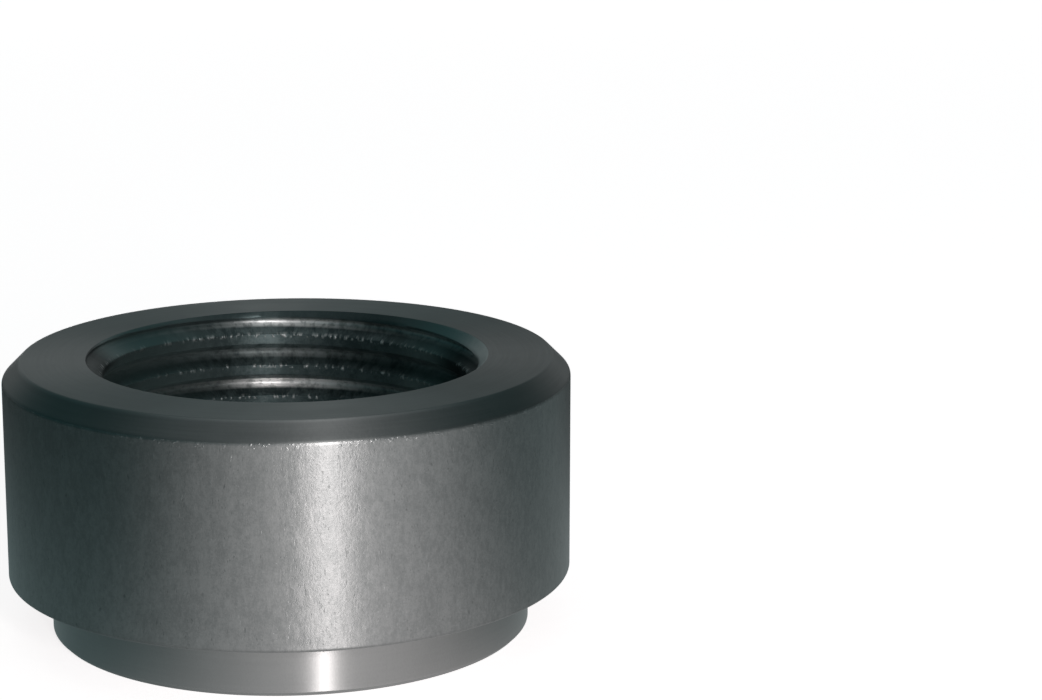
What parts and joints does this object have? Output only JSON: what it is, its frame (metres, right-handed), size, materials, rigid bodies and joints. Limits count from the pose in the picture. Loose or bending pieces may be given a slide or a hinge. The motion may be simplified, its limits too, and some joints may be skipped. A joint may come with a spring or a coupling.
{
  "type": "weld on bung",
  "caption": "Turned steel weld on bung: a short chamfered ring with a threaded bore, a welding shoulder and a thin stepped spigot.",
  "frame": {"origin": "centre of the bore axis, level with the end of the spigot that the bung stands on", "axes": "+Z along the bore axis, from the spigot towards the chamfered sealing face; X and Y are free because the ring is round"},
  "size_m": [0.0254, 0.0254, 0.0124],
  "materials": {
    "turned_steel": "plain turned mild steel, dark grey, with drawn bar outside and turned faces, no plating"
  },
  "bodies": {
    "root": {"weld_bung": "turned_steel"}
  },
  "joints": []
}
